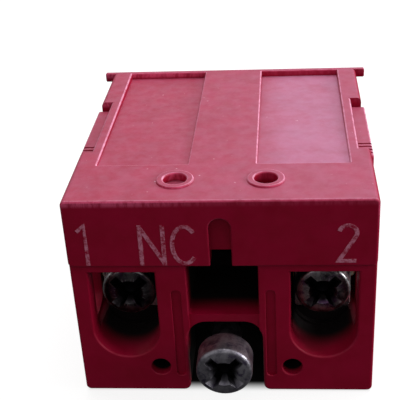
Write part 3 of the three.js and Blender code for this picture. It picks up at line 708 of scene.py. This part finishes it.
def fixed_contact(name, side):
    """A strip that runs from the terminal along the side wall and turns in behind the bridge."""
    inner_start = CHAMBER_INNER + 3 * GAP
    inner_face = STRIP_OUTER - STRIP_THICKNESS
    turn, inside = STRIP_OUTER - STRIP_BEND, EDGE
    path = [
        (inner_start, STRIP_FRONT),
        *arc(turn, STRIP_FRONT + STRIP_BEND, STRIP_BEND, -90, 0),
        *arc(turn, STRIP_REAR - STRIP_BEND, STRIP_BEND, 0, 90),
        (STRIP_INNER, STRIP_REAR),
        (STRIP_INNER, STRIP_REAR - STRIP_THICKNESS),
        *reversed(arc(inner_face - inside, STRIP_REAR - STRIP_THICKNESS - inside, inside, 0, 90)),
        *reversed(arc(inner_face - inside, STRIP_FRONT + STRIP_THICKNESS + inside, inside, -90, 0)),
        (inner_start, STRIP_FRONT + STRIP_THICKNESS),
    ]
    outline = on_side(side, rounded(inner_start, inner_face, STRIP_TERMINAL_LOW, STRIP_TOP, SMALL_CORNER))
    plate = prism("y", outline, STRIP_FRONT, STRIP_FRONT + STRIP_THICKNESS, EDGE_FINE, EDGE_FINE)
    strip = prism("z", on_side(side, path), STRIP_LOW, STRIP_TOP, EDGE_FINE, EDGE_FINE, name)
    hole = circle(side * TERMINAL_X, TERMINAL_Z, SCREW_HOLE)
    return cut(join(strip, [plate]), [opening("y", hole, STRIP_FRONT, BLOCK_DEPTH, EDGE_THIN)])


# ---- Fasteners ----

def clamp_plate(name, side):
    """A square washer with grip ribs across the face that presses on the wire."""
    x, front = side * TERMINAL_X, TERMINAL_HEAD_FRONT + TERMINAL_HEAD_HEIGHT + CLAMP_GAP
    rear = front + CLAMP_THICKNESS
    low, high = TERMINAL_Z - CLAMP_HALF_HEIGHT, TERMINAL_Z + CLAMP_HALF_HEIGHT
    outline = rounded(x - CLAMP_HALF, x + CLAMP_HALF, low, high, SMALL_CORNER)
    grooves = []
    for i in range(CLAMP_GROOVES):
        middle = x + CLAMP_GROOVE_PITCH * (i - (CLAMP_GROOVES - 1) / 2)
        bottom = (middle, rear - CLAMP_GROOVE_DEPTH)
        notch = [(middle - CLAMP_GROOVE_HALF, rear), bottom, (middle + CLAMP_GROOVE_HALF, rear)]
        notch += [(u, rear + GAP) for u, _ in reversed(notch[::2])]
        grooves.append(loft("z", [(notch, low - PAST), (notch, high + PAST)]))
    plate = prism("y", outline, front, rear, EDGE_SMALL, EDGE_FINE, name)
    hole = opening("y", circle(x, TERMINAL_Z, CLAMP_HOLE), front, rear + PAST, EDGE_THIN)
    return cut(plate, [hole, *grooves])


def terminal_nut(name, side):
    x, front = side * TERMINAL_X, STRIP_FRONT + STRIP_THICKNESS + GAP
    rear, low, high = front + NUT_THICKNESS, TERMINAL_Z - NUT_HALF, TERMINAL_Z + NUT_HALF
    outline = rounded(x - NUT_HALF, x + NUT_HALF, low, high, SMALL_CORNER)
    nut = prism("y", outline, front, rear, EDGE, EDGE, name)
    return cut(nut, [opening("y", circle(x, TERMINAL_Z, SCREW_HOLE), front, rear + PAST, NUT_RIM)])


def recess_tools(x, z, front):
    """A cross recess with tapered arms and a wide pit in the middle."""
    def arm(reach, half, turn):
        return rotated([(-reach, -half), (reach, -half), (reach, half), (-reach, half)], x, z, turn)
    tools = []
    for turn in (RECESS_TURN, RECESS_TURN + 90):
        tools.append(loft("y", [
            (arm(RECESS_REACH, 1.1 * RECESS_ARM, turn), front - PAST),
            (arm(RECESS_REACH, 1.1 * RECESS_ARM, turn), front),
            (arm(0.6 * RECESS_REACH, 0.7 * RECESS_ARM, turn), front + 0.8 * RECESS_DEPTH),
        ]))
    pit = [(1, -PAST), (1, 0.12), (0.75, 0.45), (0.45, RECESS_DEPTH), (0.15, 1.15 * RECESS_DEPTH)]
    tools.append(loft("y", [(circle(x, z, share * RECESS_PIT, 32), front + y) for share, y in pit]))
    return tools


def screw(name, x, z, front, head_height, length, start):
    """A round-headed screw with a thread from start to its point, counted from the head's front."""
    crown = [(HEAD_RADIUS * share, HEAD_CROWN * share ** 2) for share in (0.25, 0.5, 0.7)]
    edge = ellipse(HEAD_RADIUS - HEAD_ROUND, HEAD_CROWN + HEAD_ROUND, HEAD_ROUND, HEAD_ROUND, -75, 0, 6)
    under = [(HEAD_RADIUS, head_height - EDGE_SMALL), (HEAD_RADIUS - EDGE_SMALL, head_height)]
    under.append((SHANK_RADIUS, head_height))
    end = length - POINT_CHAMFER
    rows = math.ceil((end - start) / THREAD_PITCH * THREAD_ROWS)
    shank = [(SHANK_RADIUS, start + (end - start) * i / rows) for i in range(rows + 1)]
    point = [(SHANK_RADIUS - POINT_CHAMFER, length), (0, length)]
    profile = [(0, 0), *crown, *edge, *under, *shank, *point]
    placed = [(radius, front + y) for radius, y in profile]
    piece = turned(placed, x, z, SCREW_SIDES, (front + start, front + end), name)
    piece = cut(piece, recess_tools(x, z, front))
    # Painted shade in the cross recess: a point gets darker the deeper it lies under the head's crown.
    recess_shade = piece.data.attributes.new("recess_shade", "FLOAT", "POINT")
    for vert, value in zip(piece.data.vertices, recess_shade.data):
        depth = vert.co.y / MM - FRONT_Y - front
        away = math.hypot(vert.co.x / MM - x, vert.co.z / MM - z) / HEAD_RADIUS
        inside = away < RECESS_REACH / HEAD_RADIUS and depth < 1.2 * RECESS_DEPTH
        value.value = min(max((depth - HEAD_CROWN * away ** 2) / RECESS_SHADE_DEPTH, 0), 1) if inside else 0
    return piece


def terminal_screw(name, side):
    place = (side * TERMINAL_X, TERMINAL_Z, TERMINAL_HEAD_FRONT)
    start = TERMINAL_HEAD_HEIGHT + GAP
    return screw(name, *place, TERMINAL_HEAD_HEIGHT, TERMINAL_SCREW_LENGTH, start)


def fixing_screw():
    start = FIXING_LENGTH - POINT_CHAMFER - FIXING_THREAD
    return screw("fixing_bolt", 0, FIXING_Z, -FIXING_PROUD, FIXING_HEAD_HEIGHT, FIXING_LENGTH, start)


def screw_retainer():
    front = SEAT_REAR + GAP
    rear = front + RETAINER_THICKNESS
    outline = circle(0, FIXING_Z, RETAINER_RADIUS)
    washer = prism("y", outline, front, rear, EDGE, EDGE, "retaining_ring")
    return cut(washer, [opening("y", circle(0, FIXING_Z, SCREW_HOLE), front, rear + PAST, EDGE_SMALL)])


# ---- Terminal markings: thin strokes of print on the band ----

def stroke(points):
    """The outline of a pen stroke of even width through the points, with square ends."""
    steps = steps_between(points, points[1:])
    corners = list(zip(points, [steps[0], *steps], [*steps, steps[-1]]))
    right = [moved(*corner, PRINT_STROKE / 2) for corner in corners]
    left = [moved(*corner, -PRINT_STROKE / 2) for corner in corners]
    return right + left[::-1]


def marking(strokes, name="tool"):
    parts = []
    for points in strokes:
        outline = stroke(points)
        parts.append(loft("y", [(outline, -PRINT_PROUD), (outline, PRINT_PROUD)], name))
    return join(parts[0], parts[1:]) if parts[1:] else parts[0]


def one():
    x, top = PRINT_ONE_X, PRINT_TOP + 0.3
    return marking([[(x - 0.85, top - 1.1), (x, top - 0.25), (x, PRINT_LOW)]], "marking_1")


def normally_closed():
    x, half, end = PRINT_N_X, 1.25, PRINT_STROKE / 2
    letter_n = [
        [(x - half, PRINT_LOW), (x - half, PRINT_TOP)],
        [(x - half, PRINT_TOP - end), (x + half, PRINT_LOW + end)],
        [(x + half, PRINT_LOW), (x + half, PRINT_TOP)],
    ]
    middle, tall = (PRINT_LOW + PRINT_TOP) / 2, (PRINT_TOP - PRINT_LOW - PRINT_STROKE) / 2
    letter_c = ellipse(PRINT_C_X, middle, 1.35, tall, 42, 318, 26)
    return gather("marking_nc", [marking(letter_n), marking([letter_c])])


def two():
    x, half = PRINT_TWO_X, 0.95
    base = PRINT_LOW + 0.45
    bow = ellipse(x, PRINT_TOP - half - 0.2, half, half, 165, -35, 16)
    return marking([[*bow, (x - half, base), (x + half, base)]], "marking_2")


# ---- Materials ----

class Nodes:
    """Short ways to add nodes to a shader tree and to link them."""

    def __init__(self, tree):
        self.tree = tree

    def feed(self, socket, value):
        """Links another node's output to a socket, or sets the socket to a plain value."""
        if isinstance(value, bpy.types.NodeSocket):
            self.tree.links.new(value, socket)
        else:
            socket.default_value = value

    def node(self, kind, inputs, **settings):
        node = self.tree.nodes.new("ShaderNode" + kind)
        for key, value in settings.items():
            setattr(node, key, value)
        for key, value in inputs.items():
            self.feed(node.inputs[key], value)
        return node

    def split(self, vector):
        return self.node("SeparateXYZ", {0: vector}).outputs

    def band(self, value, low, high, to_low=0.0, to_high=1.0):
        """Maps low..high to to_low..to_high, smoothly."""
        inputs = {0: value, 1: low, 2: high, 3: to_low, 4: to_high}
        return self.node("MapRange", inputs, interpolation_type="SMOOTHSTEP").outputs[0]

    def math(self, operation, a, b=0.0, use_clamp=False):
        return self.node("Math", {0: a, 1: b}, operation=operation, use_clamp=use_clamp).outputs[0]


class Look(Nodes):
    """A material: its Principled shader, and the patterns that feed it."""

    def __init__(self, name, **settings):
        self.material = bpy.data.materials.new(name)
        self.material.use_nodes = True
        super().__init__(self.material.node_tree)
        self.shader = self.tree.nodes["Principled BSDF"]
        for key, value in settings.items():
            self.set(key.replace("_", " "), value)
        place = self.node("TexCoord", {}).outputs["Object"]
        self.place = self.node("VectorMath", {0: place, 3: 1 / MM}, operation="SCALE").outputs[0]
        self.x, self.y, self.z = self.split(self.place)

    def set(self, name, value):
        self.feed(self.shader.inputs[name], value)

    def noise(self, size, detail=3.0, rough=0.6, stretch=(1, 1, 1), shift=0.0):
        """Noise with features of about size millimetres, stretched along the axes, from 0 to 1."""
        scaled = self.node("VectorMath", {0: self.place, 1: [1 / s for s in stretch]}, operation="MULTIPLY")
        moved = self.node("VectorMath", {0: scaled.outputs[0], 1: (shift,) * 3}, operation="ADD")
        inputs = {"Vector": moved.outputs[0], "Scale": 1 / size, "Detail": detail, "Roughness": rough}
        return self.node("TexNoise", inputs).outputs["Fac"]

    def times(self, first, *others):
        """The product, kept from 0 to 1."""
        for other in others:
            first = self.math("MULTIPLY", first, other, True)
        return first

    def plus(self, a, b):
        """The sum, kept from 0 to 1."""
        return self.math("ADD", a, b, True)

    def mix(self, share, a, b):
        return self.node("Mix", {0: share, 6: a, 7: b}, data_type="RGBA").outputs[2]

    def attribute(self, name):
        return self.node("Attribute", {}, attribute_name=name).outputs["Fac"]

    def facing(self, axis, low, high, to_low=0.0, to_high=1.0):
        """Changes with how far a face looks along an axis, from -1 to 1."""
        normal = self.node("NewGeometry", {}).outputs["Normal"]
        return self.band(self.split(normal)[axis], low, high, to_low, to_high)

    def upward(self):
        """1 on faces that look up, 0 on the others."""
        return self.facing(2, 0.6, 0.95)

    def across(self, left, right, to_left, to_right):
        """Changes from left to right between two places along the front."""
        return self.band(self.x, left, right, to_left, to_right)

    def height(self, low, high, to_low, to_high):
        """Changes with the height over the ground."""
        return self.band(self.z, low, high, to_low, to_high)

    def inside(self):
        """How much painted shade a point gets: 0 on the block's outer faces, rising to 1 a few millimetres
        into its openings.
        """
        depth = self.math("SUBTRACT", HALF_WIDTH, self.math("ABSOLUTE", self.x))
        above = self.math("SUBTRACT", HEIGHT, self.z)
        front = self.math("SUBTRACT", self.y, FRONT_Y)
        rear = self.math("SUBTRACT", FRONT_Y + DEPTH, self.y)
        below_pockets = PEG_Z + SHADE_OVER_PEGS, POCKET_LOW - GAP
        front_weight = self.height(*below_pockets, SHADE_LOW_DOWN, SHADE_FROM_FRONT)
        shade_offset = self.height(*below_pockets, BAND_PROUD + GROOVE_DEPTH, 0.0)
        behind = self.math("SUBTRACT", front, shade_offset)
        for other, weight in ((above, SHADE_FROM_TOP), (behind, front_weight), (rear, 1.0)):
            depth = self.math("MINIMUM", depth, self.math("MULTIPLY", other, weight))
        underside = self.times(self.facing(2, -0.5, -0.9), self.height(*FOOT_EDGE, 1.0, 0.0))
        return self.times(self.band(depth, *SHADE_RANGE), self.math("SUBTRACT", 1.0, underside))

    def recess_floor(self):
        """1 on the floors of the two recesses in the top, 0 on the rest."""
        over_step = self.height(HEIGHT - TOP_STEP, HEIGHT - RECESS_REAR_DEPTH, 0.0, 1.0)
        under_top = self.height(HEIGHT - RECESS_FRONT_DEPTH, HEIGHT - GAP, 1.0, 0.0)
        return self.times(over_step, under_top, self.upward())

    def bump(self, height, distance_mm, strength=1.0):
        inputs = {"Height": height, "Distance": distance_mm * MM, "Strength": strength}
        self.set("Normal", self.node("Bump", inputs).outputs[0])


def rgb(red, green, blue):
    """A colour given as sRGB from 0 to 255, as the linear values that shaders take."""
    def linear(value):
        share = value / 255
        return share / 12.92 if share <= 0.04045 else ((share + 0.055) / 1.055) ** 2.4
    return (linear(red), linear(green), linear(blue), 1.0)


CHALK_HIGHLIGHT = rgb(255, 104, 150)


def dust_and_sheen(look, body):
    """Adds a pale film to what looks up, part dust and part painted sheen, heavier to the right as painted
    light, with a few pale dust specks.
    """
    up = look.times(look.upward(), look.height(AXIS_Z, 20.0, 0.0, 1.0))
    patches = look.band(look.noise(4.0, 5, 0.6, shift=3.0), 0.25, 0.6, 0.5, 1.0)
    # Painted sheen mixed with dust, in patches on the right recess floor.
    recess_dust_and_sheen = look.times(look.recess_floor(), look.across(2.0, 8.0, 0.0, 0.2), patches)
    film = look.band(look.noise(1.6, 5, 0.62), 0.3, 0.7, 0.08, 0.14)
    # The film grows towards the right: painted light from that side.
    film = look.plus(look.plus(film, recess_dust_and_sheen), look.across(-12.0, 12.0, 0.0, 0.055))
    body = look.mix(look.times(up, film), body, rgb(225, 182, 225))
    specks = look.band(look.noise(0.6, 2, 0.5, shift=11.0), 0.74, 0.82)
    return look.mix(look.times(up, specks, 0.5), body, rgb(240, 205, 225))


def wear_and_highlights(look, body):
    """Adds pale streaks under the top's front edge, chalky wear with a painted highlight of that rounded
    edge, and pale wear along the outer edges with painted highlights.
    """
    streaks = look.band(look.noise(0.45, 4, 0.7, (1, 1, 4)), 0.36, 0.6, 0.25, 1.0)
    # Painted highlight of the rounded top front edge, streaked like chalky wear, stronger on the left.
    high_in_front = look.times(look.facing(1, -0.9, -0.6, 1.0, 0.0), look.height(25.1, 25.6, 0.0, 1.0))
    chalk_highlight = look.times(high_in_front, streaks, look.across(-10.0, 0.0, 0.65, 0.15))
    body = look.mix(chalk_highlight, body, CHALK_HIGHLIGHT)
    uneven = look.band(look.noise(0.9, 4, 0.7), 0.32, 0.6, 0.35, 1.0)
    # Painted highlight: more on edges that face the right lamp or stand at the right, less on edges that
    # face the front, which also take the deeper pink colour.
    rising = look.height(22.0, 25.0, 0.1, 0.85)
    sideways = look.math("MAXIMUM", look.facing(0, -0.5, 0.2, 0.35, 1.0), look.across(8.0, 12.0, 0.0, 0.9))
    worn = look.times(look.attribute("edge"), uneven, rising, sideways, look.facing(1, -0.6, 0.0, 0.5, 1.0))
    return look.mix(worn, body, look.mix(look.facing(1, -0.75, -0.2), CHALK_HIGHLIGHT, rgb(248, 172, 204)))


def red_plastic():
    """Crimson moulded plastic: mottled, dust and a painted sheen on top, worn edges with painted highlights,
    and painted shade deep inside.
    """
    look = Look("red_plastic", Metallic=0.0, IOR=1.5, Specular_IOR_Level=0.25)
    mottle = look.band(look.noise(3.0, 5, 0.6), 0.3, 0.7)
    body = wear_and_highlights(look, dust_and_sheen(look, look.mix(mottle, rgb(160, 1, 44), rgb(170, 3, 52))))
    inside = look.inside()
    # Painted shade: deep in the openings the colour goes nearly black.
    look.set("Base Color", look.mix(inside, body, rgb(10, 1, 2)))
    rough = look.band(look.noise(1.2, 5, 0.7), 0.3, 0.7, 0.42, 0.6)
    look.set("Roughness", look.plus(rough, look.times(inside, 0.35)))
    look.bump(look.noise(0.16, 2, 0.5), 0.012, 0.6)
    return look.material


def print_film():
    """Pale print, worn through in places so that the red shows."""
    look = Look("print_film", Metallic=0.0, Roughness=0.6, Specular_IOR_Level=0.2)
    wear = look.band(look.noise(0.55, 5, 0.75), 0.34, 0.62)
    look.set("Base Color", look.mix(wear, rgb(168, 4, 50), rgb(226, 140, 168)))
    look.bump(look.noise(0.2, 3, 0.6), 0.01)
    return look.material


def plain_plastic(name, dark, light, roughness):
    """Clean moulded plastic with a fine matt grain."""
    look = Look(name, Metallic=0.0, IOR=1.5, Specular_IOR_Level=0.4)
    body = look.mix(look.band(look.noise(2.5, 4, 0.6), 0.3, 0.7), dark, light)
    look.set("Base Color", look.mix(look.times(look.attribute("edge"), 0.25), body, light))
    look.set("Roughness", look.band(look.noise(0.8, 4, 0.6), 0.3, 0.7, roughness - 0.07, roughness + 0.08))
    look.bump(look.noise(0.14, 2, 0.5), 0.01, 0.6)
    return look.material


def metal(name, dull, bright, roughness, grain=(1, 1, 1), tint=None, shine=0.6):
    """Plated or bare metal: uneven tarnish, fine scratches along the grain, edges worn to a shine."""
    look = Look(name, Metallic=1.0)
    body = look.mix(look.band(look.noise(1.4, 5, 0.65), 0.35, 0.65), dull, bright)
    if tint:
        body = look.mix(look.band(look.noise(1.1, 3, 0.6, shift=7.0), 0.52, 0.68, 0, 0.8), body, tint)
    uneven = look.band(look.noise(0.7, 3, 0.6), 0.35, 0.6, 0.2, 1)
    body = look.mix(look.times(look.attribute("edge"), uneven, shine), body, rgb(214, 212, 214))
    # Painted shade in the screws' cross recesses, from what screw() stores.
    look.set("Base Color", look.mix(look.attribute("recess_shade"), body, rgb(16, 14, 18)))
    scratches = look.noise(0.12, 3, 0.6, grain)
    look.set("Roughness", look.band(scratches, 0.3, 0.7, roughness - 0.08, roughness + 0.12))
    look.bump(scratches, 0.008, 0.5)
    return look.material


# ---- Camera, lights and floor ----

def add_camera():
    data = bpy.data.cameras.new("camera")
    data.sensor_width = 36.0
    data.lens, data.shift_x = CAMERA_LENS, CAMERA_SHIFT
    data.clip_start, data.clip_end = 0.005, 20.0
    camera = add_object("camera", data)
    x, y, z = CAMERA_PLACE
    placed = Matrix.Translation(Vector((x, FRONT_Y + y, z)) * MM)
    for angle, axis in zip(CAMERA_ANGLES, "ZXZ"):
        placed = placed @ Matrix.Rotation(math.radians(angle), 4, axis)
    camera.matrix_world = placed
    bpy.context.scene.camera = camera


def add_light(name, place, size, power):
    """A square lamp of soft light that faces the block's middle."""
    data = bpy.data.lights.new(name, "AREA")
    data.shape = "RECTANGLE"
    data.size = data.size_y = size * MM
    data.energy = power
    light = add_object(name, data)
    light.location = Vector(place) * MM
    direction = (Vector((0, 0, HEIGHT / 2)) - Vector(place)).normalized()
    light.rotation_euler = direction.to_track_quat("-Z", "Y").to_euler()


def add_world():
    """Soft light from above, brighter behind the block, with a plain pale background."""
    world = bpy.data.worlds.new("studio")
    bpy.context.scene.world = world
    world.use_nodes = True
    nodes = Nodes(world.node_tree)
    _, y, z = nodes.split(nodes.node("TexCoord", {}).outputs["Generated"])
    rising = nodes.band(z, -0.1, 0.3, WORLD_BELOW, 1.0)
    behind = nodes.band(y, -0.3, 0.8, WORLD_FRONT, WORLD_REAR)
    seen = nodes.node("LightPath", {}).outputs["Is Camera Ray"]
    strength = nodes.node("Mix", {0: seen, 2: nodes.math("MULTIPLY", rising, behind), 3: 1.0})
    background = nodes.tree.nodes["Background"]
    nodes.feed(background.inputs["Strength"], strength.outputs[0])
    nodes.feed(background.inputs["Color"], (1, 1, 1, 1))


def add_floor():
    """A pale floor that glows a little, but not under the block, where its colour is dark too: a painted
    shadow that fades out near the footprint's edges.
    """
    bm = bmesh.new()
    bmesh.ops.create_circle(bm, cap_ends=True, segments=64, radius=6.0)
    floor = piece_from("floor", bm)
    look = Look("floor_paper", Metallic=0.0, Roughness=0.9, Specular_IOR_Level=0.0)
    clear = look.band(look.math("ABSOLUTE", look.x), HALF_WIDTH - FLOOR_FADE, HALF_WIDTH)
    for source, edge in ((look.y, FRONT_Y + DEPTH), (look.math("MULTIPLY", look.y, -1.0), -FRONT_Y)):
        clear = look.math("MAXIMUM", clear, look.band(source, edge - FLOOR_FADE, edge))
    shade = look.mix(look.noise(40.0), rgb(140, 140, 140), rgb(136, 136, 136))
    # Painted shadow: the floor is dark under the block's footprint.
    look.set("Base Color", look.mix(clear, rgb(40, 38, 38), shade))
    look.set("Emission Strength", look.math("MULTIPLY", clear, FLOOR_GLOW))
    look.set("Emission Color", (1, 1, 1, 1))
    floor.data.materials.append(look.material)
    floor.visible_diffuse = floor.visible_glossy = False


# ---- The whole scene ----

red = red_plastic()
black = plain_plastic("black_plastic", rgb(28, 27, 28), rgb(52, 50, 51), 0.42)
nylon = plain_plastic("nylon", rgb(206, 199, 178), rgb(226, 220, 202), 0.55)
steel = metal("plated_steel", rgb(118, 114, 124), rgb(178, 174, 184), 0.44, tint=rgb(76, 60, 98), shine=0.1)
sooty = metal("dark_steel", rgb(34, 30, 35), rgb(112, 106, 110), 0.34, tint=rgb(70, 38, 74))
spotted = metal("spotted_steel", rgb(58, 52, 58), rgb(176, 168, 172), 0.34, tint=rgb(96, 54, 100))
zinc = metal("zinc_steel", rgb(150, 151, 154), rgb(186, 188, 192), 0.34, (1, 1, 6))
wire = metal("spring_wire", rgb(150, 148, 146), rgb(186, 184, 184), 0.28, (1, 6, 1))
brass = metal("brass", rgb(172, 132, 66), rgb(206, 166, 92), 0.32, (1, 6, 1))
copper = metal("copper", rgb(158, 92, 62), rgb(196, 122, 86), 0.33, (6, 1, 1))
silver = metal("silver", rgb(196, 195, 190), rgb(224, 224, 220), 0.3)
film = print_film()

settle(housing(), "base", red, "red_moulding", "housing")
settle(rear_cover(), "base", red, "red_cover", "rear_cover")
settle(plunger(), "plunger", black, "plunger_moulding", "plunger")
settle(bridge(), "bridge", copper, "copper_strip", "contact_bridge")
settle(fixing_screw(), "fixing_screw", steel, "fixing_screw", "fixing_screw")
settle(screw_retainer(), "retainer", nylon, "nylon_ring", "screw_retainer")
for mark in (one(), normally_closed(), two()):
    settle(mark, "base", film, "red_moulding")

return_ends = BLOCK_DEPTH + GAP / 2, SLOT_FRONT - FRONT_BAR - GAP / 2
return_coil = coil("return_coil", *return_ends, **RETURN_COIL)
settle(return_coil, "base", wire, "spring_wire", "return_spring")
anchor = to_frame("y", 0, AXIS_Z, return_ends[0])
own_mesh(return_coil)
contact_ends = SLOT_FRONT + GAP / 2, BRIDGE_FRONT - GAP / 2
contact_coil = coil("contact_coil", *contact_ends, **CONTACT_COIL)
settle(contact_coil, "plunger", wire, "spring_wire", "contact_spring")

for number, side, screw_steel in ((1, -1, sooty), (2, 1, spotted)):
    for make, name, body, material, slot, node in (
        (fixed_contact, "strip", "base", brass, "brass_strip", "fixed_contact"),
        (terminal_nut, "nut", "base", zinc, "zinc_steel", "terminal_nut"),
        (clamp_plate, "clamp", f"clamp_{number}", zinc, "zinc_steel", "clamp_plate"),
        (terminal_screw, "bolt", f"clamp_screw_{number}", screw_steel, "terminal_screw", "terminal_screw"),
    ):
        settle(make(f"{name}_{number}", side), body, material, slot, f"{node}_{number}")
    for kind, body, seat, facing in (
        ("fixed", "base", STRIP_REAR - STRIP_THICKNESS - GAP / 2, -1),
        ("bridge", "bridge", BRIDGE_FRONT + BRIDGE_THICKNESS + GAP / 10, 1),
    ):
        tip = rivet(f"{kind}_rivet_{number}", side, seat, facing)
        settle(tip, body, silver, "silver_tip", f"{kind}_tip_{number}")

add_camera()
add_world()
add_light("overhead", OVERHEAD, OVERHEAD_SIZE, OVERHEAD_POWER)
add_light("right", RIGHT, RIGHT_SIZE, RIGHT_POWER)
add_floor()
bpy.context.scene.view_settings.view_transform = "Standard"
